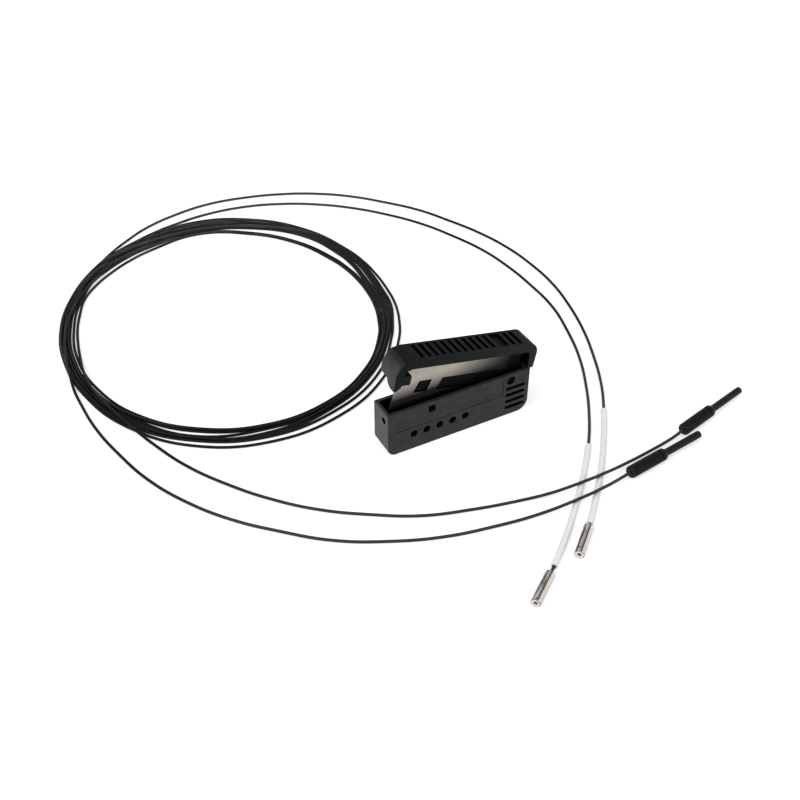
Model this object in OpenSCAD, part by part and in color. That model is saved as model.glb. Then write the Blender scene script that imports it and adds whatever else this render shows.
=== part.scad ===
// Through-beam fibre optic sensor set: two plastic fibres, each with a round metal head,
// a white protective sleeve and an amplifier plug, wound in one coil, and the hand cutter
// that trims fibres to length. Millimetres, +Z up, origin at the middle of the cutter's base.

/* [Cutter base] */
// Length of the base along X
base_l = 52; // [50:0.5:58]
// Width of the base along Y
base_w = 9.2; // [8.8:0.1:12]
// Height of the base's rim
base_h = 16.5; // [16.2:0.1:18]
// Thickness of the long walls
wall = 1.15; // [0.9:0.05:1.3]
// Thickness of the end walls
end_wall = 1; // [0.8:0.05:1.1]
// Thickness of the floor
floor_t = 1.4; // [1:0.1:2]
// Corner radius at the mouth end
mouth_corner = 3; // [1.5:0.1:4]
// Corner radius at the hinge end
hinge_corner = 4; // [2:0.1:5]

/* [Fibre holes] */
// Diameter of each fibre hole
hole_d = 2.6; // [2.2:0.05:2.8]
// Number of fibre holes
hole_count = 5; // [1:1:5]
// Distance from one hole to the next
hole_pitch = 4.7; // [3.6:0.1:4.8]
// Height of the hole row
hole_z = 6; // [5.8:0.1:6.4]
// Place of the first hole from the mouth end
hole_start = 9.3; // [8:0.1:10]
// Height of the block that backs the fibres
guide_h = 8.9; // [8.4:0.1:9.1]

/* [Hinge] */
// Diameter of the hinge pin
pin_d = 3.2; // [2.4:0.1:3.4]
// Distance from the hinge to the base's far end
hinge_inset = 7; // [6:0.1:7.4]
// Depth of the hinge below the rim
hinge_drop = 2.6; // [2.3:0.1:3.1]
// Outer diameter of the lid's hinge eye
eye_d = 6.6; // [5.6:0.1:6.8]
// Angle that the lid stands open
open_angle = 11.4; // [8:0.1:12]

/* [Cutter lid] */
// Height of the shut lid's top above the rim
lid_rise = 10.9; // [10.2:0.1:11.5]
// Thickness of the lid's top
lid_plate = 2.2; // [1.8:0.1:2.4]
// Thickness of the lid's long walls
lid_wall = 1.1; // [0.9:0.05:1.2]
// Thickness of the lid's end walls
lid_end = 1.3; // [1:0.05:1.4]
// Gap between the shut lid and the rim
rim_gap = 0.3; // [0.2:0.05:0.6]
// Width of a grip groove
groove_w = 1.4; // [0.8:0.1:1.6]
// Distance from one grip groove to the next
groove_pitch = 2.6; // [2.2:0.1:3]
// Number of grip grooves
groove_count = 15; // [10:1:15]
// Depth of the grip grooves
groove_depth = 0.9; // [0.4:0.1:1.2]

/* [Blade] */
// Thickness of the blade
blade_t = 0.5; // [0.3:0.05:0.6]
// Height of the cutting edge when the lid is shut
edge_z = 4.5; // [4.2:0.1:4.6]
// Height of the ground bevel
bevel_h = 1.6; // [0.8:0.1:2]
// Thickness of the rib that carries the blade
rib_t = 1.8; // [1.4:0.1:2]

/* [Sensor heads] */
// Diameter of a head
head_d = 3; // [2.6:0.1:4]
// Length of a head
head_l = 12.2; // [8:0.1:14]

/* [Fibres] */
// Outer diameter of a fibre's jacket
fibre_d = 1; // [0.8:0.05:1.05]
// Outer diameter of the white sleeve
sleeve_d = 2.1; // [2.1:0.1:2.4]
// Wall of the white sleeve
sleeve_wall = 0.4; // [0.3:0.05:0.45]
// Length of the white sleeve
sleeve_l = 53.5; // [50:0.5:56]

/* [Amplifier plugs] */
// Diameter of the grip
grip_d = 4; // [3.8:0.1:4.4]
// Length of the grip without its front collar
grip_l = 13.5; // [12:0.1:14]
// Length of the front collar
collar_l = 2.4; // [1.8:0.1:2.6]
// Diameter of the tip
tip_d = 2.4; // [2.3:0.05:2.6]
// Length of the tip in front of the collar
tip_l = 15.5; // [13:0.1:16]
// Number of flutes round the grip
flute_count = 18; // [12:1:20]

/* [Coil] */
// Longer half-length of the coil's middle line
coil_a = 67.5; // [64:0.5:70]
// Shorter half-length of the coil's middle line
coil_b = 57.5; // [54:0.5:60]
// Width of the bundle of turns
coil_w = 7.4; // [6:0.1:7.6]
// Height of the bundle of turns
coil_h = 2.2; // [2.2:0.1:3]

/* [Hidden] */
$fn = 48;

// Clearances: a close fit that doesn't turn, a running fit, and an overlap for clean cuts
fit = 0.02;
running = 0.06;
over = 0.5;

// The base spans X from mouth_x to far_x, and the hinge and the blade slot follow from it
mouth_x = -base_l / 2;
far_x = base_l / 2;
front_y = -base_w / 2;
hinge_x = far_x - hinge_inset;
hinge_z = base_h - hinge_drop;
inner_y = base_w / 2 - wall;
blade_y = 0.7 - inner_y;
blade_back = blade_y + blade_t;
hole_x = [for (i = [0 : hole_count - 1]) mouth_x + hole_start + i * hole_pitch];
last_hole = hole_x[hole_count - 1];

// Levels of the shut lid
lid_top = base_h + lid_rise;
plate_z = lid_top - lid_plate;
leg_z = base_h + rim_gap;
back_z = base_h + 2.8;

// Colours
shell = [0.15, 0.155, 0.155];
dark_shell = [0.09, 0.095, 0.1];
steel = [0.66, 0.63, 0.6];
head_metal = [0.6, 0.62, 0.6];
jacket = [0.1, 0.1, 0.105];
plug_black = [0.12, 0.12, 0.125];
white_tube = [0.88, 0.88, 0.88];
core_end = [0.2, 0.2, 0.22];

// Cutter: shared helpers

// Draws a profile given in X and Z and gives it a thickness from y0 to y1
module slab(y0, y1) {
    translate([0, y1, 0])
        rotate([90, 0, 0])
            linear_extrude(y1 - y0) children();
}

// A round hole or pin along Y
module across(x, z, d, y0, y1) {
    translate([x, y1, z])
        rotate([90, 0, 0])
            cylinder(d = d, h = y1 - y0);
}

// The base's side view, drawn inset by m, with its two lower corners rounded
module base_profile(m_end, m_floor, top) {
    r1 = mouth_corner - min(m_end, m_floor);
    r2 = hinge_corner - min(m_end, m_floor);
    x0 = mouth_x + m_end;
    x1 = far_x - m_end;
    union() {
        translate([x0 + r1, m_floor]) square([x1 - x0 - r1 - r2, top - m_floor]);
        translate([x0, m_floor + r1]) square([r1, top - m_floor - r1]);
        translate([x1 - r2, m_floor + r2]) square([r2, top - m_floor - r2]);
        translate([x0 + r1, m_floor + r1]) circle(r = r1);
        translate([x1 - r2, m_floor + r2]) circle(r = r2);
    }
}

// Cutter: the base, an open channel with a block that backs the fibres behind the blade
grip_slot_l = 7.2;
grip_slot_h = 1.3;
grip_slot_z = [3.1, 5.6, 8.2, 10.8];
line_w = 0.25;
line_depth = 0.15;
line_z = 8.6;
line_x = 2.4;
line_turn = 3;
line_drop = 0.8;
window = [2.5, 2.6];
window_x = 15.7;
window_drop = 2.7;
end_hole_d = 2.4;
end_hole_y = -1.9;
end_hole_drop = 3.5;

module cutter_base() {
    color(shell)
        difference() {
            union() {
                difference() {
                    slab(-base_w / 2, base_w / 2) base_profile(0, 0, base_h);
                    slab(-inner_y, inner_y) base_profile(end_wall, floor_t, base_h + over);
                }
                guide_block();
            }
            for (x = hole_x)
                across(x, hole_z, hole_d, -base_w / 2 - over, base_w / 2 + over);
            across(hinge_x, hinge_z, pin_d + 2 * fit, -base_w / 2 - over, base_w / 2 + over);
            front_cuts();
            translate([mouth_x - over, end_hole_y, base_h - end_hole_drop])
                rotate([0, 90, 0])
                    cylinder(d = end_hole_d, h = end_wall + 2 * over);
        }
}

// Backs each fibre just behind the blade, so that the cut is square
module guide_block() {
    y0 = blade_back + 0.65;
    margin = 3.4;
    translate([hole_x[0] - margin, y0, floor_t - over])
        cube([last_hole - hole_x[0] + 2 * margin, inner_y - y0 + wall / 2, guide_h - floor_t + over]);
}

// The small window, the four finger slots and the scribed line of the front wall
module front_cuts() {
    slot_x = hinge_x - 1.7;
    slab(front_y - over, -inner_y + over) {
        translate([mouth_x + window_x, base_h - window_drop]) square(window, center = true);
        for (z = grip_slot_z)
            translate([slot_x, z - grip_slot_h / 2]) square([grip_slot_l, grip_slot_h]);
    }
    slab(front_y - over, front_y + line_depth) {
        translate([mouth_x + line_x, line_z])
            square([hinge_x - line_turn - mouth_x - line_x, line_w]);
        translate([hinge_x - line_turn, line_z]) square([line_w, base_h - line_drop - line_z]);
    }
}

// Cutter: the lid, drawn shut and then opened about the hinge

module opened() {
    translate([hinge_x, 0, hinge_z])
        rotate([0, open_angle, 0])
            translate([-hinge_x, 0, -hinge_z]) children();
}

lid_x0 = mouth_x + 0.5;
lid_x1 = far_x + 0.3;
top_corner = 3.8;
notch_x = mouth_x + 6;

// The open lid stops on the rim behind the hinge, so its shut edge there slopes by open_angle.
// This gives the height of that edge in the shut lid.
stop_gap = 0.2;
stop_x = hinge_x + 0.5;
function stop_z(x) =
    hinge_z + (base_h + stop_gap - hinge_z) / cos(open_angle) + (x - hinge_x) * tan(open_angle);

// The lid's side view: sloped nose at the mouth end, round shoulder at the hinge end
module lid_outline() {
    union() {
        polygon([
            [lid_x0, leg_z], [lid_x0, lid_top - 4.6], [lid_x0 + 1.2, lid_top - 2],
            [lid_x0 + 2.4, lid_top - 0.7], [lid_x0 + 5.1, lid_top],
            [lid_x1 - top_corner, lid_top], [lid_x1 - top_corner, lid_top - top_corner],
            [lid_x1, lid_top - top_corner], [lid_x1, stop_z(lid_x1)],
            [stop_x, stop_z(stop_x)], [lid_x0 + 2, leg_z],
        ]);
        translate([lid_x1 - top_corner, lid_top - top_corner]) circle(r = top_corner);
    }
}

// The front wall: a narrow skirt, at the mouth end a leg with a square catch, and at the
// hinge end a post that widens upwards
module lid_front() {
    skirt_z = plate_z - 1;
    post_x = lid_x1 - lid_end - 0.5;
    polygon([
        [lid_x0, leg_z], [lid_x0 + 1.2, leg_z], [lid_x0 + 2.4, leg_z + 1.1],
        [lid_x0 + 2.6, leg_z + 1.8], [notch_x, leg_z + 1.8], [notch_x, leg_z + 5],
        [lid_x0 + 3, leg_z + 5], [lid_x0 + 3, skirt_z - 0.4], [notch_x - 0.8, skirt_z - 0.4],
        [notch_x - 0.4, skirt_z], [post_x - 1.2, skirt_z], [post_x, stop_z(post_x)],
        [lid_x1, stop_z(lid_x1)], [lid_x1, lid_top], [lid_x0, lid_top],
    ]);
}

// The rear wall: it ends well above the rim, but behind the hinge it runs down to the stop
module lid_rear() {
    polygon([
        [lid_x0, back_z], [stop_x - 2.5, back_z], [stop_x, stop_z(stop_x)],
        [lid_x1, stop_z(lid_x1)], [lid_x1, plate_z + over], [lid_x0, plate_z + over],
    ]);
}

// The stepped foot of the end wall at the mouth, drawn in Y and Z
module lid_foot() {
    polygon([
        [front_y, leg_z], [-2.3, leg_z], [-0.5, leg_z + 0.9], [0.3, back_z - 0.3],
        [-front_y, back_z], [-front_y, lid_top], [front_y, lid_top],
    ]);
}

// The blade carrier that hangs from the lid behind the blade and ends in the hinge eye
module lid_rib() {
    rib_z = guide_h + 0.7;
    slab(blade_back, blade_back + rib_t)
        polygon([
            [lid_x0 + lid_end / 2, plate_z + over], [lid_x0 + lid_end / 2, leg_z + 0.9],
            [lid_x0 + 3, leg_z + 0.9], [lid_x0 + 3, rib_z], [hinge_x - 4.6, rib_z],
            [hinge_x - eye_d / 2, hinge_z], [hinge_x + eye_d / 2, hinge_z],
            [hinge_x + eye_d / 2, plate_z + over],
        ]);
    across(hinge_x, hinge_z, eye_d, blade_back, inner_y - 0.25);
    slab(blade_back, inner_y - 0.25)
        translate([hinge_x - eye_d / 2, hinge_z]) square([eye_d, plate_z + over - hinge_z]);
}

// Grip grooves across the lid's top, with one square recess where two of them would be
module lid_grooves() {
    first_x = mouth_x + 8.7;
    half_w = base_w / 2 - 1;
    recess = 11;
    for (i = [0 : groove_count - 1])
        if (i != recess && i != recess + 1)
            translate([first_x + i * groove_pitch, -half_w, lid_top - groove_depth])
                cube([groove_w, 2 * half_w, groove_depth + over]);
    if (groove_count > recess + 1)
        translate([first_x + recess * groove_pitch, -half_w, lid_top - groove_depth])
            cube([groove_pitch + groove_w, 2 * half_w, groove_depth + over]);
}

module lid_shut() {
    difference() {
        union() {
            intersection() {
                slab(-base_w / 2, base_w / 2) lid_outline();
                union() {
                    translate([lid_x0 - over, -base_w, plate_z])
                        cube([base_l + 4 * over, 2 * base_w, lid_plate + over]);
                    slab(front_y - over, front_y + lid_wall) lid_front();
                    slab(base_w / 2 - lid_wall, base_w / 2 + over) lid_rear();
                    translate([lid_x0, 0, 0])
                        rotate([90, 0, 90])
                            linear_extrude(lid_end) lid_foot();
                    translate([lid_x1 - lid_end, -base_w, leg_z])
                        cube([lid_end + over, 2 * base_w, plate_z - leg_z + over]);
                }
            }
            lid_rib();
        }
        across(hinge_x, hinge_z, pin_d + 2 * running, -base_w, base_w);
        lid_grooves();
    }
}

module cutter_lid() {
    color(dark_shell) opened() lid_shut();
}

// Cutter: the blade, a steel plate with two windows and a ground edge along its bottom
blade_x0 = mouth_x + 1.8;
blade_x1 = hinge_x - 1.85;
blade_foot = mouth_x + 3;

module blade_outline() {
    polygon([
        [blade_foot, edge_z], [blade_x0, edge_z + 3.5], [blade_x0 + 0.5, leg_z - 1.7],
        [blade_x0 + 0.5, leg_z + 0.2], [notch_x + 1.3, leg_z + 0.4],
        [notch_x + 1, leg_z + 3.9], [notch_x - 0.9, leg_z + 6.1], [notch_x - 0.9, plate_z],
        [blade_x1, plate_z], [blade_x1, edge_z + 4.5], [blade_x1 - 3.2, edge_z],
    ]);
}

// A leaning hole near the mouth and a long window, both with sloped ends. Their places are
// measured from the blade's mouth end, its hinge end and its cutting edge.
hole_low = [7.1, 12];
hole_high = [8.7, 13.3];
window_low = [15.3, 2.65];
window_high = [17.1, 3.65];
windows_z = [9.4, 13.6];

module blade_windows() {
    low = edge_z + windows_z[0];
    high = edge_z + windows_z[1];
    polygon([
        [blade_x0 + hole_low[0], low], [blade_x0 + hole_high[0], high],
        [blade_x0 + hole_high[1], high], [blade_x0 + hole_low[1], low],
    ]);
    polygon([
        [blade_x0 + window_low[0], low], [blade_x0 + window_high[0], high],
        [blade_x1 - window_high[1], high], [blade_x1 - window_low[1], low],
    ]);
}

module cutter_blade() {
    color(steel)
        opened()
            difference() {
                slab(blade_y, blade_back) {
                    difference() {
                        blade_outline();
                        blade_windows();
                    }
                }
                // The bevel leaves a quarter of the thickness at the cutting edge
                translate([mouth_x, blade_y, edge_z])
                    rotate([-atan(0.75 * blade_t / bevel_h), 0, 0])
                        translate([0, -over, -over])
                            translate([0, -0.75 * blade_t, 0])
                                cube([base_l, over + 0.75 * blade_t, bevel_h + over]);
            }
}

module hinge_pin() {
    recess = 0.6;
    color(dark_shell) across(hinge_x, hinge_z, pin_d, recess - base_w / 2, base_w / 2 - recess);
}

// Fibres: the sleeve lies on an arc of small turn, clockwise seen from above.
// Each fibre's sleeve is [start point, heading at the start, turn in degrees].
emitter_arc = [[47, -19], -125, 12];
receiver_arc = [[32, -31], -130.5, 11.5];
// Bare fibre between the sleeve and the head
emitter_bare = 1.1;
receiver_bare = 3;
head_turn = 2;

function arc_r(arc) = sleeve_l / (arc[2] * PI / 180);
function arc_centre(arc) = arc[0] + arc_r(arc) * [sin(arc[1]), -cos(arc[1])];
function arc_at(arc, s) =
    let (h = arc[1] - arc[2] * s / sleeve_l)
        arc_centre(arc) - arc_r(arc) * [sin(h), -cos(h)];
function end_heading(arc) = arc[1] - arc[2];
function head_heading(arc) = end_heading(arc) - head_turn;
function head_rear(arc, bare) =
    let (h = end_heading(arc) - head_turn / 2)
        arc_at(arc, sleeve_l) + bare * [cos(h), sin(h)];

module sleeve(arc) {
    c = arc_centre(arc);
    color(white_tube)
        translate([c[0], c[1], sleeve_d / 2])
            rotate([0, 0, end_heading(arc) + 90])
                rotate_extrude(angle = arc[2], $fn = 180)
                    translate([arc_r(arc), 0])
                        difference() {
                            circle(d = sleeve_d);
                            circle(d = sleeve_d - 2 * sleeve_wall);
                        }
}

// Draws what stands on +Z along the level direction heading from a point at height z
module along(p, z, heading) {
    translate([p[0], p[1], z])
        rotate([0, 90, heading]) children();
}

// Heads: a turned metal tube with the polished fibre end flush in its front face
head_bevel = 0.15;
head_shoulder = 0.4;
fibre_hole = fibre_d + 2 * running;

module head() {
    color(head_metal)
        difference() {
            union() {
                cylinder(d1 = head_d - 2 * head_shoulder, d2 = head_d, h = head_shoulder);
                translate([0, 0, head_shoulder])
                    cylinder(d = head_d, h = head_l - head_shoulder - head_bevel);
                translate([0, 0, head_l - head_bevel])
                    cylinder(d1 = head_d, d2 = head_d - 2 * head_bevel, h = head_bevel);
            }
            translate([0, 0, -over]) cylinder(d = fibre_hole, h = head_l + 2 * over);
        }
}

module core(length) {
    color(core_end) cylinder(d = fibre_d, h = length);
}

module at_head(arc, bare) {
    along(head_rear(arc, bare), head_d / 2, head_heading(arc)) children();
}

// Plugs: a slim tip runs back into a fluted grip, and a collar closes the grip's front.
// Each plug is [rear point, heading].
emitter_plug = [[35, -48], 7.5];
receiver_plug = [[62.5, -40], 13.5];
rear_wall = 2;
rear_round = 0.9;
stem_d = 2;
neck_l = 0.5;
neck_d = 3;
flute_d = 0.42;
tip_chamfer = 0.35;
plug_l = grip_l + collar_l + tip_l;

module plug_grip() {
    barrel_l = grip_l - neck_l;
    color(plug_black)
        difference() {
            union() {
                rotate_extrude()
                    union() {
                        square([grip_d / 2 - rear_round, rear_round]);
                        intersection() {
                            translate([grip_d / 2 - rear_round, rear_round]) circle(r = rear_round);
                            square([grip_d / 2, rear_round]);
                        }
                    }
                translate([0, 0, rear_round])
                    linear_extrude(barrel_l - rear_round)
                        difference() {
                            circle(d = grip_d);
                            for (i = [0 : flute_count - 1])
                                rotate(i * 360 / flute_count)
                                    translate([grip_d / 2, 0]) circle(d = flute_d, $fn = 16);
                        }
                translate([0, 0, barrel_l]) cylinder(d = neck_d, h = neck_l);
            }
            translate([0, 0, rear_wall]) cylinder(d = stem_d + 2 * fit, h = grip_l);
            translate([0, 0, -over]) cylinder(d = fibre_hole, h = grip_l);
        }
}

module plug_collar() {
    front_d = tip_d + 0.2;
    color(plug_black)
        translate([0, 0, grip_l])
            difference() {
                union() {
                    cylinder(d = grip_d, h = collar_l / 2);
                    translate([0, 0, collar_l / 2])
                        cylinder(d1 = grip_d, d2 = front_d, h = collar_l / 2);
                }
                translate([0, 0, -over]) cylinder(d = stem_d + 2 * fit, h = collar_l + 2 * over);
            }
}

module plug_tip() {
    tip_z = grip_l + collar_l;
    color(plug_black)
        difference() {
            union() {
                translate([0, 0, rear_wall]) cylinder(d = stem_d, h = tip_z - rear_wall);
                translate([0, 0, tip_z]) cylinder(d = tip_d, h = tip_l - tip_chamfer);
                translate([0, 0, plug_l - tip_chamfer])
                    cylinder(d1 = tip_d, d2 = tip_d - 2 * tip_chamfer, h = tip_chamfer);
            }
            translate([0, 0, -over]) cylinder(d = fibre_hole, h = plug_l + 2 * over);
        }
}

module at_plug(plug) {
    along(plug[0], grip_d / 2, plug[1]) children();
}

// Fibre routes over the floor, from the coil outwards, as [x, y, z]
floor_z = fibre_d / 2;
hump_z = sleeve_d + fibre_d / 2 + 0.1;

function on_floor(points) = [for (p = points) [p[0], p[1], floor_z]];

emitter_head_route = on_floor([
    [-85, 137.5], [-74.5, 149.5], [-62.5, 159.5], [-49.5, 168], [-34.5, 173], [-19, 175],
    [-3.5, 173], [11.5, 168.5], [25.5, 161.5], [38, 152], [48.5, 140.5], [58, 128],
    [65, 114], [71, 99.5], [75, 84], [76.5, 68.5], [76, 53], [73, 37.5], [68.5, 22.5],
    [62.5, 8], [55.5, -6],
]);
receiver_head_route = on_floor([
    [-67.5, 151], [-54, 159.5], [-39, 165], [-23, 167], [-7, 165.5], [8, 160.5],
    [22, 152.5], [34, 142.5], [44.5, 130.5], [53.5, 117], [60, 102.5], [65, 87.5],
    [67.5, 71.5], [68, 56], [67, 40], [63, 24.5], [57.5, 9.5], [50, -5], [41.5, -18.5],
]);
// Near the plugs both routes pass over the two white sleeves in one low hump
emitter_plug_route = concat(
    on_floor([
        [-101, 99], [-104, 83.5], [-104.5, 67.5], [-103.5, 51.5], [-100.5, 36], [-96, 20.5],
        [-89, 6], [-80, -7], [-69, -18.5], [-57, -29], [-43, -37], [-28, -43],
        [-12.5, -46.5],
    ]),
    [[1, -48.8, 1], [12, -50.5, hump_z], [24, -50, hump_z]]
);
receiver_plug_route = concat(
    on_floor([
        [-98.5, 65], [-94, 50], [-89.5, 35.5], [-83.5, 21], [-75.5, 7.5], [-66, -5],
        [-55, -16], [-42.5, -25], [-29.5, -32.5], [-14.5, -37.5], [0, -41],
    ]),
    [[9.5, -43.5, 1.5], [18.5, -45, hump_z], [28.5, -45, hump_z], [38, -43.5, 1.5], [47.5, -42, 0.8]]
);

function at_height(p, z) = [p[0], p[1], z];
function level(heading) = [cos(heading), sin(heading), 0];

// The fibre's way through the sleeve to the back of its head. It rises inside the sleeve's end,
// because the head is the thicker of the two.
function head_end(arc, bare) =
    let (
        z = sleeve_d / 2,
        rise = 0.6 * ((sleeve_d - fibre_d) / 2 - sleeve_wall),
        steps = 4
    )
        concat(
            [
                for (i = [0 : steps])
                    at_height(arc_at(arc, sleeve_l * i / steps), i < steps ? z : z + rise)
            ],
            [at_height(head_rear(arc, bare), head_d / 2)]
        );

// The fibre's way into the back of its plug
function plug_end(plug) =
    let (z = grip_d / 2, rear = at_height(plug[0], z))
        [rear - 5 * level(plug[1]) - [0, 0, 0.2], rear];

function unit(v) = v / norm(v);
function way(p, i) = unit(p[i + 1] - p[max(i - 1, 0)]);
cord_sides = 8;

// A round cord of diameter d through the points p, cut square to the heading at its last point
module cord(p, d, heading) {
    n = len(p);
    rings = [
        for (i = [0 : n - 1])
            let (
                t = i < n - 1 ? way(p, i) : level(heading),
                s = unit(cross([0, 0, 1], t)),
                u = cross(t, s)
            )
                for (k = [0 : cord_sides - 1])
                    let (a = (k + 0.5) * 360 / cord_sides)
                        p[i] + d / 2 * (cos(a) * s + sin(a) * u)
    ];
    walls = [
        for (i = [0 : n - 2], k = [0 : cord_sides - 1])
            let (a = i * cord_sides, b = a + cord_sides, m = (k + 1) % cord_sides)
                [a + k, b + k, b + m, a + m]
    ];
    first = [for (k = [0 : cord_sides - 1]) k];
    last = [for (k = [0 : cord_sides - 1]) n * cord_sides - 1 - k];
    color(jacket) polyhedron(points = rings, faces = concat([first], walls, [last]));
}

// The coil of both fibres: an oval of four arcs round its middle, with a stepped section
// because the upper layer of turns lies in the valleys of the lower one
coil_at = [-43, 91];
coil_heading = 77;

// Half of the section's outline runs up one side, and the other half is its mirror image
module coil_section() {
    r = fibre_d / 2;
    step_z = coil_h - fibre_d;
    side = [
        [coil_w / 2 - r, 0], [coil_w / 2, r], [coil_w / 2, step_z - r], [coil_w / 2 - r, step_z],
        [coil_w / 2 - fibre_d, coil_h - r], [coil_w / 2 - fibre_d - r, coil_h],
    ];
    n = len(side);
    polygon(concat(side, [for (i = [0 : n - 1]) [-side[n - 1 - i][0], side[n - 1 - i][1]]]));
}

module coil_arc(radius, from) {
    rotate(from)
        rotate_extrude(angle = 90, $fn = 144)
            translate([radius, 0]) coil_section();
}

module fibre_coil() {
    shift = (coil_a - coil_b) * (1 + sqrt(0.5));
    color(jacket)
        translate([coil_at[0], coil_at[1], 0])
            rotate(coil_heading)
                for (side = [0, 180])
                    rotate(side) {
                        translate([shift, 0]) coil_arc(coil_a - shift, -45);
                        translate([0, -shift]) coil_arc(coil_b + shift, 45);
                    }
}

// Nodes of the two fibres
module emitter_head() { at_head(emitter_arc, emitter_bare) head(); }
module emitter_head_core() { at_head(emitter_arc, emitter_bare) core(head_l); }
module emitter_sleeve() { sleeve(emitter_arc); }
module emitter_head_lead() {
    route = concat(emitter_head_route, head_end(emitter_arc, emitter_bare));
    cord(route, fibre_d, head_heading(emitter_arc));
}
module emitter_plug_lead() {
    cord(concat(emitter_plug_route, plug_end(emitter_plug)), fibre_d, emitter_plug[1]);
}
module emitter_plug_grip() { at_plug(emitter_plug) plug_grip(); }
module emitter_plug_collar() { at_plug(emitter_plug) plug_collar(); }
module emitter_plug_tip() { at_plug(emitter_plug) plug_tip(); }
module emitter_plug_core() { at_plug(emitter_plug) core(plug_l); }

module receiver_head() { at_head(receiver_arc, receiver_bare) head(); }
module receiver_head_core() { at_head(receiver_arc, receiver_bare) core(head_l); }
module receiver_sleeve() { sleeve(receiver_arc); }
module receiver_head_lead() {
    route = concat(receiver_head_route, head_end(receiver_arc, receiver_bare));
    cord(route, fibre_d, head_heading(receiver_arc));
}
module receiver_plug_lead() {
    cord(concat(receiver_plug_route, plug_end(receiver_plug)), fibre_d, receiver_plug[1]);
}
module receiver_plug_grip() { at_plug(receiver_plug) plug_grip(); }
module receiver_plug_collar() { at_plug(receiver_plug) plug_collar(); }
module receiver_plug_tip() { at_plug(receiver_plug) plug_tip(); }
module receiver_plug_core() { at_plug(receiver_plug) core(plug_l); }

cutter_base();
cutter_lid();
cutter_blade();
hinge_pin();
fibre_coil();
emitter_head();
emitter_head_core();
emitter_sleeve();
emitter_head_lead();
emitter_plug_lead();
emitter_plug_grip();
emitter_plug_collar();
emitter_plug_tip();
emitter_plug_core();
receiver_head();
receiver_head_core();
receiver_sleeve();
receiver_head_lead();
receiver_plug_lead();
receiver_plug_grip();
receiver_plug_collar();
receiver_plug_tip();
receiver_plug_core();
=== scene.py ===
import math
import bmesh
import bpy
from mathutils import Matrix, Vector


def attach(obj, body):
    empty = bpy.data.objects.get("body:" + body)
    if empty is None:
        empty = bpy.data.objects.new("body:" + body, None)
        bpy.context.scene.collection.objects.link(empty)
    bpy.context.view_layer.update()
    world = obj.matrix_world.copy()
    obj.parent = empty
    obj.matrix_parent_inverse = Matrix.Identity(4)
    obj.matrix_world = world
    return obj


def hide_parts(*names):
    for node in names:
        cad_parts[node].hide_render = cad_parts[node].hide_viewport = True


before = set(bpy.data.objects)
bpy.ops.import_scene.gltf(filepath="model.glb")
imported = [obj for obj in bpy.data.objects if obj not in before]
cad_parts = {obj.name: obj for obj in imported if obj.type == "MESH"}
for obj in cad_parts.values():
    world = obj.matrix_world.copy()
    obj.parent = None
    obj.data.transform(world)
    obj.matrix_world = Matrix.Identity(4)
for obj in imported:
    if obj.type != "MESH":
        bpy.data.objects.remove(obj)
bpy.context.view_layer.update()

MM = 0.001


def add_object(name, data):
    obj = bpy.data.objects.new(name, data)
    bpy.context.collection.objects.link(obj)
    return obj


# ---------------------------------------------------------------- camera
camera_data = bpy.data.cameras.new("camera")
camera_data.sensor_width = 36.0
camera_data.lens = 48.015
camera_data.clip_start = 0.01
camera_data.clip_end = 50.0
camera = add_object("camera", camera_data)
camera.location = (-0.1403, -0.2258, 0.2272)
camera.rotation_euler = (math.radians(50.68), 0.0, math.radians(-28.19))
bpy.context.scene.camera = camera


# ---------------------------------------------------------------- fibre routes, in millimetres
# The sizes, arcs, plugs and free routes are part.scad's, where the leads begin a little
# earlier, beside the coil. The single strands of the coil are drawn only here.
FIBRE_D = 1.0
SLEEVE_D = 2.1
SLEEVE_L = 53.5
HEAD_D = 3.0
GRIP_D = 4.0
FLOOR_Z = FIBRE_D / 2
HUMP_Z = SLEEVE_D + FIBRE_D / 2 + 0.1
COIL_AT = (-43.0, 91.0)
COIL_A = 67.5
COIL_B = 57.5
COIL_HEADING = 77.0

# Each sleeve: start point, heading at the start, turn in degrees, bare fibre before the head
EMITTER_ARC = ((47.0, -19.0), -125.0, 12.0, 1.1)
RECEIVER_ARC = ((32.0, -31.0), -130.5, 11.5, 3.0)
HEAD_TURN = 2.0
# Points along each sleeve, and the fibre's rise at the last one, towards the head's middle
SLEEVE_STEPS = 4
SLEEVE_RISE = 0.09

# Each plug: rear point and heading
EMITTER_PLUG = ((35.0, -48.0), 7.5)
RECEIVER_PLUG = ((62.5, -40.0), 13.5)
# Behind its plug a fibre runs straight and sinks a little
PLUG_STRAIGHT = 5.0
PLUG_DROP = 0.2

EMITTER_HEAD_ROUTE = [
    (-49.5, 168), (-34.5, 173), (-19, 175), (-3.5, 173), (11.5, 168.5), (25.5, 161.5),
    (38, 152), (48.5, 140.5), (58, 128), (65, 114), (71, 99.5), (75, 84), (76.5, 68.5),
    (76, 53), (73, 37.5), (68.5, 22.5), (62.5, 8), (55.5, -6),
]
RECEIVER_HEAD_ROUTE = [
    (-39, 165), (-23, 167), (-7, 165.5), (8, 160.5), (22, 152.5), (34, 142.5),
    (44.5, 130.5), (53.5, 117), (60, 102.5), (65, 87.5), (67.5, 71.5), (68, 56), (67, 40),
    (63, 24.5), (57.5, 9.5), (50, -5), (41.5, -18.5),
]
EMITTER_PLUG_ROUTE = [
    (-104.5, 67.5), (-103.5, 51.5), (-100.5, 36), (-96, 20.5), (-89, 6), (-80, -7),
    (-69, -18.5), (-57, -29), (-43, -37), (-28, -43), (-12.5, -46.5),
    (1, -48.8, 1), (12, -50.5, HUMP_Z), (24, -50, HUMP_Z),
]
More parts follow.
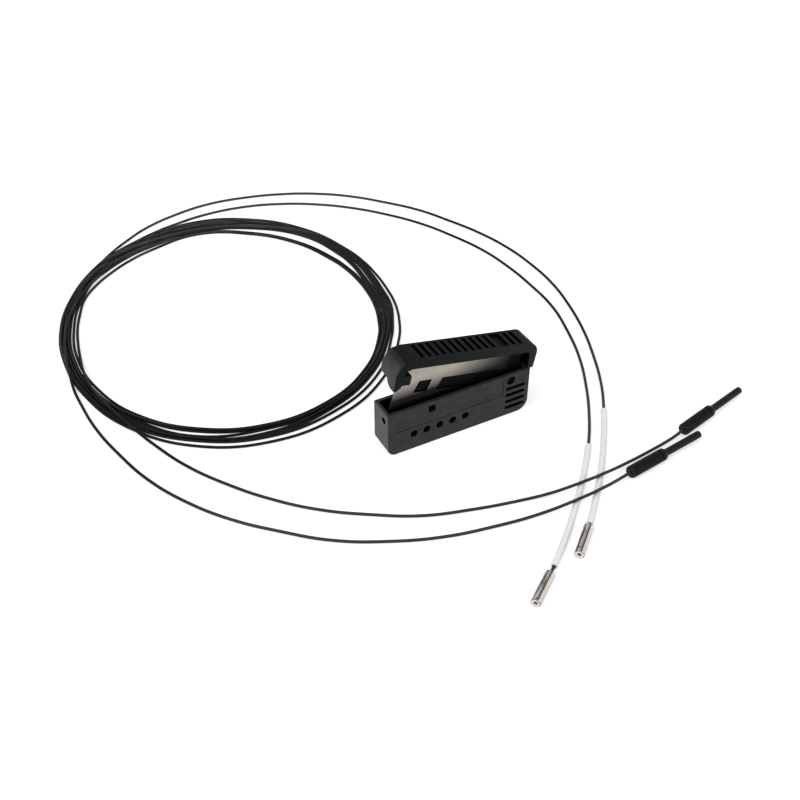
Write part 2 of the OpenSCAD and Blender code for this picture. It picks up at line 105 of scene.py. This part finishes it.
RECEIVER_PLUG_ROUTE = [
    (-83.5, 21), (-75.5, 7.5), (-66, -5), (-55, -16), (-42.5, -25), (-29.5, -32.5),
    (-14.5, -37.5), (0, -41), (9.5, -43.5, 1.5), (18.5, -45, HUMP_Z), (28.5, -45, HUMP_Z),
    (38, -43.5, 1.5), (47.5, -42, 0.8),
]

# Lanes of the coil: azimuth, then how far each of the eight strands lies outside the oval.
# Clockwise from 120 to 100 degrees every strand moves out by two lanes.
LANES = {
    100: (-5.75, -3.4, -2.1, -1.1, 0.2, 1.2, 2.2, 3.3),
    80: (-4.55, -3.3, -2.15, -0.45, 1.05, 2.75, 4.2, 5.6),
    60: (-6.35, -5.35, -1.8, -0.4, 0.65, 2.28, 3.8, 5.3),
    40: (-6.15, -5.15, -0.15, 0.82, 1.79, 2.76, 3.73, 4.7),
    20: (-5.6, -4.35, -0.85, 0.1, 1.05, 2.0, 2.95, 3.9),
    10: (-4.8, -3.7, -1.25, -0.25, 1.05, 2.05, 3.05, 4.0),
    0: (-4.15, -3.05, -1.9, -0.8, 0.5, 1.55, 2.6, 4.0),
    -10: (-3.45, -2.45, -1.45, -0.45, 0.6, 1.6, 2.6, 4.35),
    -20: (-2.72, -1.7, -0.68, 0.34, 1.36, 2.38, 3.4, 5.1),
    -30: (-2.2, -1.2, -0.35, 0.45, 1.25, 2.05, 3.05, 5.45),
    -40: (-1.7, -0.7, -0.05, 0.6, 1.25, 1.9, 2.95, 5.7),
    -60: (-1.6, -0.5, 0.05, 0.6, 1.15, 1.7, 3.65, 6.2),
    -80: (-2.3, -1.1, -0.5, 0.1, 0.7, 1.3, 3.05, 5.9),
    -100: (-3.1, -2.05, -1.55, -1.0, 0.95, 1.97, 2.97, 5.6),
    -120: (-3.4, -2.0, -2.2, 0.4, 1.42, 1.97, 2.5, 4.95),
    -140: (-2.65, -1.6, -1.05, -0.5, 0.55, 1.6, 2.6, 3.65),
    -160: (-2.33, -1.07, -0.44, 0.19, 0.82, 1.45, 2.08, 2.72),
    -180: (-2.1, -0.95, -0.37, 0.2, 0.78, 1.35, 1.93, 2.5),
    -200: (-2.05, -0.8, -0.2, 0.37, 0.95, 1.53, 2.1, 2.7),
    -220: (-1.4, -0.35, 0.17, 0.7, 1.22, 1.75, 2.27, 2.8),
    -240: (-0.68, 0.34, 0.85, 1.36, 1.87, 2.38, 2.89, 3.4),
}
LANE_COUNT = 8
# The lane of each fibre's first pass
EMITTER_LANE = 1
RECEIVER_LANE = 0
# Strands that ride in the groove between their neighbours where the coil is narrow
UPPER = {
    -30: (2, 4), -40: (2, 4), -60: (2, 4), -80: (2, 4), -100: (2,), -120: (2, 5), -140: (2,),
    -160: (2, 4, 6), -180: (2, 4, 6), -200: (2, 4, 6), -220: (2, 4, 6), -240: (2, 4, 6),
}
# From its plug each fibre climbs over the turns and lies down inside them, as (azimuth,
# offset, height), and beyond its last turn it leaves on the outside
EMITTER_IN = [
    (196, 4.6, 0.9), (190, 3.2, 1.8), (182, 1.9, 2.3), (171, 0.9, 2.3), (160, 0.2, 2.25),
    (149, -0.5, 1.9), (140, -0.9, 1.4), (130, -1.5, 1.35), (121, -1.8, 0.7), (110, -2.55),
]
RECEIVER_IN = [
    (230, 7.34, 0.8), (224.5, 4.8, 1.35), (218, 2.5, 1.6), (211, 1.2, 2.1), (203, 0.2, 2.3),
    (195, -0.9, 2.1), (188, -2.0, 1.6), (180, -3.0, 0.8), (172, -3.4), (160, -3.35),
    (150, -3.12), (140, -2.45), (130, -3.15), (120, -4.25), (110, -5.1),
]
EMITTER_OUT = [(110, 5.6), (103, 7.6)]
RECEIVER_OUT = [(110, 4.0), (100, 4.45), (93, 5.6)]

# Fineness of the fibres' curves: round their section, and from knot to knot
SECTION_STEPS = 4
KNOT_STEPS = 10


def ring(azimuth, offset, z=FLOOR_Z):
    """Point at an azimuth round the coil, an offset outside its oval."""
    t = math.radians(azimuth - COIL_HEADING)
    a = COIL_A + offset
    b = COIL_B + offset
    r = a * b / math.hypot(b * math.cos(t), a * math.sin(t))
    h = math.radians(azimuth)
    return Vector((COIL_AT[0] + r * math.cos(h), COIL_AT[1] + r * math.sin(h), z))


def turns(first_lane):
    """Coil points of one fibre: four passes, each two lanes further out."""
    points = []
    for lane in range(first_lane, first_lane + LANE_COUNT, 2):
        for azimuth, offsets in LANES.items():
            z = FLOOR_Z
            if lane in UPPER.get(azimuth, ()):
                gap = min(abs(offsets[lane] - offsets[i]) for i in (lane - 1, lane + 1))
                z += math.sqrt(FIBRE_D ** 2 - gap ** 2)
            points.append(ring(azimuth, offsets[lane], z))
    return points


def arc_point(arc, s):
    """Point of a sleeve's middle line, at a length s from its start."""
    start, heading, turn, _ = arc
    radius = SLEEVE_L / math.radians(turn)
    h0 = math.radians(heading)
    cx = start[0] + radius * math.sin(h0)
    cy = start[1] - radius * math.cos(h0)
    h = math.radians(heading - turn * s / SLEEVE_L)
    return cx - radius * math.sin(h), cy + radius * math.cos(h)


def sleeve_and_head(arc):
    """Points through the sleeve to the hole in the back of the head."""
    points = []
    for i in range(SLEEVE_STEPS + 1):
        x, y = arc_point(arc, SLEEVE_L * i / SLEEVE_STEPS)
        rise = SLEEVE_RISE if i == SLEEVE_STEPS else 0.0
        points.append(Vector((x, y, SLEEVE_D / 2 + rise)))
    _, heading, turn, bare = arc
    h = math.radians(heading - turn - HEAD_TURN / 2)
    points.append(Vector((x + bare * math.cos(h), y + bare * math.sin(h), HEAD_D / 2)))
    return points


def plug_end(plug):
    """Points at the rear of a plug and just behind it."""
    (x, y), heading = plug
    h = math.radians(heading)
    forward = Vector((math.cos(h), math.sin(h), 0.0))
    rear = Vector((x, y, GRIP_D / 2))
    return [rear, rear - PLUG_STRAIGHT * forward - Vector((0.0, 0.0, PLUG_DROP))]


def floor_points(route):
    """Points of a route, which lie on the floor where no height is given."""
    return [Vector((p[0], p[1], p[2] if len(p) > 2 else FLOOR_Z)) for p in route]


def make_fibre(name, plug, plug_route, way_in, first_lane, way_out, head_route, arc):
    """One fibre as a smooth curve from its head through the coil to its plug."""
    points = plug_end(plug)
    points += reversed(floor_points(plug_route))
    points += [ring(*p) for p in way_in]
    points += turns(first_lane)
    points += [ring(*p) for p in way_out]
    points += floor_points(head_route)
    points += sleeve_and_head(arc)
    points.reverse()
    data = bpy.data.curves.new(name, "CURVE")
    data.dimensions = "3D"
    data.bevel_depth = 1.0
    data.bevel_resolution = SECTION_STEPS
    data.use_fill_caps = True
    data.resolution_u = KNOT_STEPS
    line = data.splines.new("BEZIER")
    line.bezier_points.add(len(points) - 1)
    for knot, p in zip(line.bezier_points, points):
        knot.co = p * MM
        knot.radius = FIBRE_D / 2 * MM
        knot.handle_left_type = "AUTO"
        knot.handle_right_type = "AUTO"
    return add_object(name, data)


emitter_fibre = make_fibre(
    "emitter_fibre", EMITTER_PLUG, EMITTER_PLUG_ROUTE, EMITTER_IN, EMITTER_LANE, EMITTER_OUT,
    EMITTER_HEAD_ROUTE, EMITTER_ARC)
receiver_fibre = make_fibre(
    "receiver_fibre", RECEIVER_PLUG, RECEIVER_PLUG_ROUTE, RECEIVER_IN, RECEIVER_LANE,
    RECEIVER_OUT, RECEIVER_HEAD_ROUTE, RECEIVER_ARC)
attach(emitter_fibre, "base")
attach(receiver_fibre, "base")
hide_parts("fibre_coil", "emitter_head_lead", "emitter_plug_lead")
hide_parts("receiver_head_lead", "receiver_plug_lead")


# ---------------------------------------------------------------- lid
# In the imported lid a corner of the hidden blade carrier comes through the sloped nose. This
# piece is the lid without it. Places are (x, z) in the shut lid, in millimetres.
HINGE = (19.0, 13.9)
OPEN_ANGLE = math.radians(11.4)
CARRIER_SIDES = (-2.25, -0.45)
CARRIER_CORNER = (-24.85, 25.7)
NOSE_BEND = (-24.3, 25.4)
NOSE_FACES = ((-24.85, 24.208), CARRIER_CORNER, NOSE_BEND, (-24.023, 25.7))
# How near a vertex lies to a place that is its own
SAME_PLACE = 0.01 * MM
# Gaps between vertices that are joined: the mesh's split ones, then those of the moved corner
SPLIT_GAP = 0.001 * MM
CORNER_GAP = 0.002 * MM
# Edges shorter than this are taken out
SHORT_EDGE = 0.0005 * MM
SHARP_ANGLE = math.radians(30.0)


def open_place(place):
    """Where a point of the shut lid lies when the lid is open, in metres."""
    dx = place[0] - HINGE[0]
    dz = place[1] - HINGE[1]
    c = math.cos(OPEN_ANGLE)
    s = math.sin(OPEN_ANGLE)
    return (HINGE[0] + dx * c + dz * s) * MM, (HINGE[1] - dx * s + dz * c) * MM


def is_at(vert, place):
    x, z = open_place(place)
    return math.hypot(vert.co.x - x, vert.co.z - z) < SAME_PLACE


def on_carrier_side(face):
    """True for the sides of the corner that comes through the nose."""
    return any(
        all(abs(v.co.y - y * MM) < SAME_PLACE and any(is_at(v, p) for p in NOSE_FACES)
            for v in face.verts)
        for y in CARRIER_SIDES)


def make_lid(name, node):
    """A copy of the node's mesh with the carrier's corner drawn back to the nose's bend."""
    work = bmesh.new()
    work.from_mesh(bpy.data.objects[node].data)
    bmesh.ops.remove_doubles(work, verts=work.verts, dist=SPLIT_GAP)
    sides = [face for face in work.faces if on_carrier_side(face)]
    bmesh.ops.delete(work, geom=sides, context="FACES")
    x, z = open_place(NOSE_BEND)
    for vert in work.verts:
        if is_at(vert, CARRIER_CORNER):
            vert.co.x = x
            vert.co.z = z
    bmesh.ops.remove_doubles(work, verts=work.verts, dist=CORNER_GAP)
    bmesh.ops.dissolve_degenerate(work, edges=work.edges, dist=SHORT_EDGE)
    work.verts.index_update()
    data = bpy.data.meshes.new(name)
    data.from_pydata([v.co.copy() for v in work.verts], [],
                     [[v.index for v in face.verts] for face in work.faces])
    work.free()
    data.shade_smooth()
    data.set_sharp_from_angle(angle=SHARP_ANGLE)
    return add_object(name, data)


lid_cover = make_lid("lid_cover", "cutter_lid")
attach(lid_cover, "lid")
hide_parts("cutter_lid")


# ---------------------------------------------------------------- node helpers
# Paler edges, partly wear and partly a painted highlight: their radius, the share of paler
# colour, and the cosines of the turn between the rounded and the true normal where that share
# is full and where it ends
WEAR_HIGHLIGHT_RADIUS = 0.0002
WEAR_HIGHLIGHT_AMOUNT = 0.3
WEAR_HIGHLIGHT_TURN = (0.86, 0.99)


class Nodes:
    """Adds and links the nodes of a material or of the world."""

    def __init__(self, owner):
        owner.use_nodes = True
        self.tree = owner.node_tree
        self.tree.nodes.clear()

    def add(self, kind, **values):
        node = self.tree.nodes.new(kind)
        for key, value in values.items():
            setattr(node, key, value)
        return node

    def link(self, socket, node, name):
        self.tree.links.new(socket, node.inputs[name])

    def maths(self, operation, a, b):
        """The operation on socket a and on b, which is a socket or a number."""
        node = self.add("ShaderNodeMath", operation=operation)
        self.link(a, node, 0)
        if isinstance(b, float):
            node.inputs[1].default_value = b
        else:
            self.link(b, node, 1)
        return node.outputs["Value"]


class Surface(Nodes):
    """A material with one Principled shader. What its helpers take and return are sockets."""

    def __init__(self, name, **values):
        self.material = bpy.data.materials.new(name)
        super().__init__(self.material)
        out = self.add("ShaderNodeOutputMaterial")
        self.shader = self.add("ShaderNodeBsdfPrincipled")
        self.link(self.shader.outputs["BSDF"], out, "Surface")
        for key, value in values.items():
            self.shader.inputs[key.replace("_", " ")].default_value = value

    def finish(self, colour, rough, normal=None):
        self.link(colour, self.shader, "Base Color")
        self.link(rough, self.shader, "Roughness")
        if normal is not None:
            self.link(normal, self.shader, "Normal")
        return self.material

    def place(self):
        """Where a point lies on its object, in metres."""
        return self.add("ShaderNodeTexCoord").outputs["Object"]

    def axis(self, name):
        """One of the X, Y and Z of that place."""
        node = self.add("ShaderNodeSeparateXYZ")
        self.link(self.place(), node, "Vector")
        return node.outputs[name]

    def noise(self, scale, detail, rough=0.55, stretch=(1, 1, 1), rotation=(0, 0, 0)):
        mapping = self.add("ShaderNodeMapping")
        mapping.inputs["Scale"].default_value = stretch
        mapping.inputs["Rotation"].default_value = rotation
        self.link(self.place(), mapping, "Vector")
        node = self.add("ShaderNodeTexNoise")
        node.inputs["Scale"].default_value = scale
        node.inputs["Detail"].default_value = detail
        node.inputs["Roughness"].default_value = rough
        self.link(mapping.outputs["Vector"], node, "Vector")
        return node.outputs["Fac"]

    def ramp(self, source, *stops):
        """Colour along the stops, each a place from 0 to 1 and a colour."""
        node = self.add("ShaderNodeValToRGB")
        elements = node.color_ramp.elements
        while len(elements) < len(stops):
            elements.new(0.5)
        for element, (place, colour) in zip(elements, stops):
            element.position = place
            element.color = (*colour, 1.0)
        self.link(source, node, "Fac")
        return node.outputs["Color"]

    def spread(self, source, low, high, from_low=0.3, from_high=0.7):
        """Low where the source is at from_low or under, high where it is at from_high."""
        node = self.add("ShaderNodeMapRange")
        node.inputs["From Min"].default_value = from_low
        node.inputs["From Max"].default_value = from_high
        node.inputs["To Min"].default_value = low
        node.inputs["To Max"].default_value = high
        self.link(source, node, "Value")
        return node.outputs["Result"]

    def bump(self, source, distance, strength, under=None):
        node = self.add("ShaderNodeBump")
        node.inputs["Distance"].default_value = distance
        node.inputs["Strength"].default_value = strength
        self.link(source, node, "Height")
        if under is not None:
            self.link(under, node, "Normal")
        return node.outputs["Normal"]

    def mix(self, factor, a, b):
        """Colour a where the factor is 0 and b where it is 1, each a colour or a socket."""
        # The colours of this node are its inputs 6 and 7 and its output 2
        node = self.add("ShaderNodeMix", data_type="RGBA")
        self.link(factor, node, "Factor")
        for socket, value in ((6, a), (7, b)):
            if isinstance(value, tuple):
                node.inputs[socket].default_value = (*value, 1.0)
            else:
                self.link(value, node, socket)
        return node.outputs[2]

    def facing(self, direction, low, high):
        """0 to 1 as the surface turns to face a direction of the object's own frame."""
        dot = self.add("ShaderNodeVectorMath", operation="DOT_PRODUCT")
        dot.inputs[1].default_value = direction
        self.link(self.add("ShaderNodeTexCoord").outputs["Normal"], dot, 0)
        return self.spread(dot.outputs["Value"], 0.0, 1.0, low, high)

    def open_part(self, distance, low, high):
        """0 deep in a slot, hole or corner of the piece, 1 on its open faces. Cover is sought
        within the distance, and low and high are the open shares that give 0 and 1."""
        node = self.add("ShaderNodeAmbientOcclusion", samples=8, only_local=True)
        node.inputs["Distance"].default_value = distance
        return self.spread(node.outputs["AO"], 0.0, 1.0, low, high)

    def edges(self):
        """How pale an edge is painted, partly as wear and partly as a painted highlight: 0 on
        the faces, the full share on sharp edges.
        """
        bevel = self.add("ShaderNodeBevel", samples=4)
        bevel.inputs["Radius"].default_value = WEAR_HIGHLIGHT_RADIUS
        dot = self.add("ShaderNodeVectorMath", operation="DOT_PRODUCT")
        self.link(bevel.outputs["Normal"], dot, 0)
        self.link(self.add("ShaderNodeNewGeometry").outputs["True Normal"], dot, 1)
        return self.spread(dot.outputs["Value"], WEAR_HIGHLIGHT_AMOUNT, 0.0, *WEAR_HIGHLIGHT_TURN)


def shade(colour, factor):
    return tuple(c * factor for c in colour)


def grey(level):
    return (level, level, level)


# ---------------------------------------------------------------- materials
# Darkest and palest mottle of moulded plastic, as shares of its tone
MOTTLE = (0.82, 1.2)
# Along X, where the paler tone painted as light on the sides at the cutter's hinge end comes
# in
HINGE_END_X = (-0.006, 0.024)
# Along Y, just behind the cutter's front wall, where the painted shade of the inner faces
# begins
BEHIND_WALL_Y = (-0.0043, -0.0041)
# On the blade, a painted reflection and shade: along X from bright to dark and along Z from
# dark to bright
BLADE_FADE_X = (-0.002, 0.019)
BLADE_FADE_Z = (0.0200, 0.0256)
# Along Y, where the fibres are painted pale in front of the coil, out of its painted shade,
# and where a painted highlight goes on them beyond it
FRONT_Y = (-0.01, 0.026)
BEYOND_Y = (0.118, 0.150)
# Distance from the coil's middle at which a strand lies outside the turns
OUTSIDE_COIL = (0.0745, 0.078)


def moulded(name, front, top, end, roughness, specular, recess, grain=4200.0, wear_highlight_grey=0.12,
            far=None, shade_grey=0.0006):
    """Moulded plastic: mottled colour, fine grain, uneven sheen, paler edges that are partly
    wear and partly a painted highlight, and recesses painted near black as shade. Its top, and
    the end that faces -X, are painted with tones of their own as light and shade, and so are
    the sides towards the cutter's hinge if far is given. Recess is what open_part takes, and
    the last argument is the grey of the painted shade inside."""
    m = Surface(name, Specular_IOR_Level=specular)
    # Painted light and shade: the top, the -X end and the sides at the hinge end take lit and
    # shaded tones of the one plastic
    up = m.facing((0.0, 0.0, 1.0), 0.5, 0.9)
    left = m.facing((-1.0, 0.0, 0.0), 0.45, 0.95)
    along = m.spread(m.axis("X"), 0.0, 1.0, *HINGE_END_X)
    tones = []
    for level in MOTTLE:
        plain = shade(front, level)
        if far:
            plain = m.mix(along, plain, shade(far, level))
        sides = m.mix(up, plain, shade(top, level))
        tones.append(m.mix(left, sides, shade(end, level)))
    tone = m.mix(m.spread(m.noise(260.0, 4.0), 0.0, 1.0), *tones)
    # Paler edges in patches, partly wear and partly a painted highlight
    patch = m.spread(m.noise(1500.0, 5.0, 0.7), 0.25, 1.0, 0.38, 0.62)
    wear_and_highlight = m.maths("MULTIPLY", m.edges(), patch)
    tone = m.mix(wear_and_highlight, tone, grey(wear_highlight_grey))
    # Painted shade: slots, holes and the faces behind the front wall are painted near black,
    # as they take hardly any light
    behind = m.spread(m.axis("Y"), 0.0, 1.0, *BEHIND_WALL_Y)
    inner = m.maths("MULTIPLY", behind, m.facing((0.0, -1.0, 0.0), 0.7, 0.9))
    outer = m.spread(inner, 1.0, 0.0, 0.0, 1.0)
    bare = m.maths("MULTIPLY", m.open_part(*recess), outer)
    colour = m.mix(bare, grey(shade_grey), tone)
    rough = m.spread(m.noise(700.0, 3.0), roughness - 0.06, roughness + 0.08)
    wave = m.bump(m.noise(180.0, 2.0), 0.00004, 0.5)
    fine = m.bump(m.noise(grain, 2.0), 0.00001, 0.7, wave)
    return m.finish(colour, rough, fine)


def ground_steel(name):
    """Blade: warm steel with grinding lines and stains, with a painted reflection that is
    bright at its upper left and painted shade that darkens it towards the channel and the
    hinge."""
    m = Surface(name, Metallic=1.0)
    lines = m.noise(1.0, 4.0, 0.6, (40.0, 900.0, 5200.0), (0.0, 0.2, 0.0))
    tone = m.ramp(lines, (0.28, (0.33, 0.30, 0.26)), (0.72, (0.42, 0.385, 0.335)))
    stain = m.spread(m.noise(320.0, 4.0, 0.6), 0.0, 0.35, 0.4, 0.75)
    plain = m.mix(stain, tone, (0.26, 0.235, 0.20))
    # Painted reflection and shade: bright at the upper left, near black towards the channel
    # and the hinge
    along = m.spread(m.axis("X"), 1.0, 0.04, *BLADE_FADE_X)
    above = m.spread(m.axis("Z"), 0.01, 1.0, *BLADE_FADE_Z)
    colour = m.mix(m.maths("MULTIPLY", along, above), (0.006, 0.0055, 0.005), plain)
    rough = m.spread(lines, 0.25, 0.39)
    return m.finish(colour, rough, m.bump(lines, 0.000004, 0.6))


def turned_metal(name, heading):
    """Head: polished metal with fine turning rings, mottled on one side, and with a painted
    reflection: a bright painted highlight on the other side and at its end, and one thin dark
    painted line along its length, the reflection of a dark thing."""
    m = Surface(name, Metallic=1.0)
    h = math.radians(heading + 90.0)
    side = (math.cos(h), math.sin(h), 0.0)
    # Painted reflection round the head: dark and bright bands by how the surface faces its
    # side, with one thin near-black band
    sheen = m.ramp(
        m.facing(side, -1.0, 1.0),
        (0.0, (0.20, 0.185, 0.165)), (0.30, (0.58, 0.54, 0.50)), (0.50, (0.34, 0.31, 0.285)),
        (0.58, (0.34, 0.31, 0.285)), (0.61, (0.008, 0.007, 0.006)),
        (0.69, (0.012, 0.011, 0.01)), (0.725, (0.66, 0.63, 0.58)), (0.92, (0.62, 0.58, 0.54)),
        (1.0, (0.30, 0.28, 0.26)))
    turn = (0.0, 0.0, math.radians(-heading))
    # Darker blots on all but one side of the head
    blots = m.noise(900.0, 4.0, 0.7, (1.0, 0.6, 0.6), turn)
    blotched = m.mix(m.spread(blots, 0.0, 0.75, 0.47, 0.62), sheen, (0.10, 0.09, 0.08))
    left = m.facing((-side[0], -side[1], 0.0), -0.6, -0.45)
    # Painted highlight on the head's end face
    end = m.facing((math.sin(h), -math.cos(h), 0.0), 0.2, 0.5)
    colour = m.mix(end, m.mix(left, sheen, blotched), (0.62, 0.60, 0.57))
    rings = m.noise(1.0, 4.0, 0.6, (6500.0, 60.0, 60.0), turn)
    rough = m.spread(rings, 0.14, 0.26)
    return m.finish(colour, rough, m.bump(rings, 0.000004, 0.6))


def jacket(name):
    """Black polyethylene jacket: satin, faintly uneven along its length, with some dust. The
    fibre is painted dark as shade in the coil and paler where it lies by itself in front of
    it, and beyond the coil a pale bluish painted highlight goes on it."""
    m = Surface(name, Specular_IOR_Level=0.1)
    cloud = m.noise(350.0, 4.0)
    deep = m.ramp(cloud, (0.3, (0.002, 0.002, 0.0023)), (0.75, (0.007, 0.0073, 0.008)))
    pale = m.ramp(cloud, (0.3, (0.030, 0.030, 0.0305)), (0.75, (0.046, 0.046, 0.047)))
    cool = m.ramp(cloud, (0.3, (0.034, 0.037, 0.040)), (0.75, (0.056, 0.060, 0.066)))
    # Painted highlights in streaks along the far turns of the coil; the strands outside it
    # take the painted highlight all along
    distance = m.add("ShaderNodeVectorMath", operation="DISTANCE")
    distance.inputs[1].default_value = (COIL_AT[0] * MM, COIL_AT[1] * MM, 0.0)
    m.link(m.place(), distance, 0)
    bands = m.add("ShaderNodeTexNoise", noise_dimensions="1D")
    bands.inputs["Scale"].default_value = 520.0
    bands.inputs["Detail"].default_value = 2.0
    m.link(distance.outputs["Value"], bands, "W")
    streak = m.spread(bands.outputs["Fac"], 0.05, 1.0, 0.44, 0.56)
    outside = m.spread(distance.outputs["Value"], 0.0, 1.0, *OUTSIDE_COIL)
    beyond = m.spread(m.axis("Y"), 0.0, 1.0, *BEYOND_Y)
    sheen = m.maths("MULTIPLY", beyond, m.maths("MAXIMUM", streak, outside))
    # Painted shade: the fibre is dark in and behind the coil, and pale in front of it
    tone = m.mix(m.spread(m.axis("Y"), 1.0, 0.0, *FRONT_Y), deep, pale)
    speck = m.spread(m.noise(5200.0, 3.0, 0.7), 0.0, 0.5, 0.68, 0.8)
    colour = m.mix(speck, m.mix(sheen, tone, cool), grey(0.06))
    rough = m.spread(cloud, 0.36, 0.5)
    return m.finish(colour, rough, m.bump(m.noise(900.0, 3.0), 0.00002, 0.5))


def tube_white(name):
    """White protective tube: milky, slightly translucent, with a soft uneven surface."""
    m = Surface(name, Specular_IOR_Level=0.35, Subsurface_Weight=0.25,
                Subsurface_Scale=0.0006)
    cloud = m.noise(420.0, 4.0)
    colour = m.ramp(cloud, (0.3, grey(0.84)), (0.7, (0.92, 0.92, 0.915)))
    rough = m.spread(cloud, 0.38, 0.52)
    return m.finish(colour, rough, m.bump(m.noise(1300.0, 3.0), 0.00002, 0.5))


def core_material(name):
    """Cut and polished fibre end: dark clear plastic with fine polishing marks."""
    m = Surface(name, Coat_Weight=0.6, Coat_Roughness=0.08)
    cloud = m.noise(2600.0, 4.0)
    colour = m.ramp(cloud, (0.3, (0.02, 0.021, 0.024)), (0.7, (0.05, 0.052, 0.058)))
    return m.finish(colour, m.spread(cloud, 0.12, 0.28))


def head_heading(arc):
    return arc[1] - arc[2] - HEAD_TURN


# Front, top, end and far are painted lit and shaded tones of one plastic, and the last grey is
# the painted shade in its recesses
shell_plastic = moulded(
    "shell_plastic", front=(0.039, 0.041, 0.040), top=(0.025, 0.026, 0.026),
    end=(0.088, 0.090, 0.089), roughness=0.5, specular=0.08, recess=(0.012, 0.5, 0.95),
    shade_grey=0.0008)
lid_plastic = moulded(
    "lid_plastic", front=(0.0098, 0.0108, 0.0108), top=(0.0032, 0.0036, 0.0038),
    end=(0.059, 0.062, 0.061), roughness=0.46, specular=0.05, recess=(0.015, 0.6, 0.97),
    wear_highlight_grey=0.07, far=(0.0232, 0.0237, 0.0237), shade_grey=0.0014)
pin_plastic = moulded(
    "pin_plastic", front=grey(0.002), top=grey(0.002), end=grey(0.003), roughness=0.42,
    specular=0.03, recess=(0.002, 0.4, 0.9), wear_highlight_grey=0.03)
plug_plastic = moulded(
    "plug_plastic", front=(0.014, 0.014, 0.0143), top=(0.006, 0.006, 0.0063),
    end=grey(0.012), roughness=0.42, specular=0.1, recess=(0.0008, 0.55, 0.97), grain=5200.0,
    wear_highlight_grey=0.05)
jacket_plastic = jacket("jacket_plastic")
sleeve_plastic = tube_white("sleeve_plastic")
fibre_core = core_material("fibre_core")


def dress(name, material):
    obj = bpy.data.objects[name]
    if not obj.material_slots:
        obj.data.materials.append(material)
    for material_slot in obj.material_slots:
        material_slot.material = material


dress("cutter_base", shell_plastic)
dress("lid_cover", lid_plastic)
dress("cutter_blade", ground_steel("blade_steel"))
dress("hinge_pin", pin_plastic)
dress("emitter_head", turned_metal("emitter_head_metal", head_heading(EMITTER_ARC)))
dress("receiver_head", turned_metal("receiver_head_metal", head_heading(RECEIVER_ARC)))
for side in ("emitter", "receiver"):
    dress(side + "_fibre", jacket_plastic)
    dress(side + "_sleeve", sleeve_plastic)
    dress(side + "_head_core", fibre_core)
    dress(side + "_plug_core", fibre_core)
    dress(side + "_plug_grip", plug_plastic)
    dress(side + "_plug_collar", plug_plastic)
    dress(side + "_plug_tip", plug_plastic)


# ---------------------------------------------------------------- edges
BEVEL_STEPS = 2
BEVEL_ANGLE = math.radians(32.0)


def soften(name, width):
    """A small true radius on the piece's sharp edges."""
    obj = bpy.data.objects[name]
    weld = obj.modifiers.new("weld", "WELD")
    weld.merge_threshold = SPLIT_GAP
    bevel = obj.modifiers.new("edge_radius", "BEVEL")
    bevel.width = width
    bevel.segments = BEVEL_STEPS
    bevel.limit_method = "ANGLE"
    bevel.angle_limit = BEVEL_ANGLE
    bevel.harden_normals = True


soften("cutter_base", 0.00012)
soften("lid_cover", 0.00015)
soften("emitter_head", 0.0002)
soften("receiver_head", 0.0002)


# ---------------------------------------------------------------- floor, world and lights
WHITE = (1.0, 1.0, 1.0, 1.0)
PAPER = (0.78, 0.78, 0.78, 1.0)
# What the floor adds to its own light for the camera and in reflections
PAPER_GLOW = 0.5
WORLD_LIGHT = 0.6
# The floor's half width, and how far it lies under the object's own underside
FLOOR_REACH = 6.0
FLOOR_DROP = 0.00002
LIGHT_AIM = Vector((0.0, 0.03, 0.0))


def seen_plainly(nodes):
    """1 for camera, glossy and transmission rays, otherwise 0."""
    ray = nodes.add("ShaderNodeLightPath").outputs
    plain = nodes.maths("MAXIMUM", ray["Is Camera Ray"], ray["Is Glossy Ray"])
    return nodes.maths("MAXIMUM", plain, ray["Is Transmission Ray"])


def floor_material():
    material = bpy.data.materials.new("floor_paper")
    nodes = Nodes(material)
    out = nodes.add("ShaderNodeOutputMaterial")
    paper = nodes.add("ShaderNodeBsdfDiffuse")
    paper.inputs["Color"].default_value = PAPER
    glow = nodes.add("ShaderNodeEmission")
    nodes.link(nodes.maths("MULTIPLY", seen_plainly(nodes), PAPER_GLOW), glow, "Strength")
    total = nodes.add("ShaderNodeAddShader")
    nodes.link(paper.outputs[0], total, 0)
    nodes.link(glow.outputs[0], total, 1)
    nodes.link(total.outputs[0], out, "Surface")
    return material


def background(nodes, strength):
    node = nodes.add("ShaderNodeBackground")
    node.inputs["Color"].default_value = WHITE
    node.inputs["Strength"].default_value = strength
    return node.outputs[0]


floor_data = bpy.data.meshes.new("floor")
floor_data.from_pydata(
    [(x * FLOOR_REACH, y * FLOOR_REACH, 0) for x, y in ((-1, -1), (1, -1), (1, 1), (-1, 1))],
    [], [(0, 1, 2, 3)])
floor = add_object("floor", floor_data)
floor.location.z = -FLOOR_DROP
floor_data.materials.append(floor_material())

world = bpy.data.worlds.new("studio")
bpy.context.scene.world = world
sky = Nodes(world)
sky_out = sky.add("ShaderNodeOutputWorld")
choose = sky.add("ShaderNodeMixShader")
sky.link(seen_plainly(sky), choose, 0)
sky.link(background(sky, WORLD_LIGHT), choose, 1)
sky.link(background(sky, 1.0), choose, 2)
sky.link(choose.outputs[0], sky_out, "Surface")


def softbox(name, place, size, power):
    data = bpy.data.lights.new(name, "AREA")
    data.shape = "RECTANGLE"
    data.size = size
    data.size_y = size
    data.energy = power
    obj = add_object(name, data)
    obj.location = place
    obj.rotation_euler = (LIGHT_AIM - Vector(place)).to_track_quat("-Z", "Y").to_euler()


softbox("key", (-0.9, -0.2, 0.9), size=0.7, power=7.0)
softbox("fill", (0.7, -0.9, 0.8), size=0.8, power=2.5)

bpy.context.scene.view_settings.view_transform = "Standard"
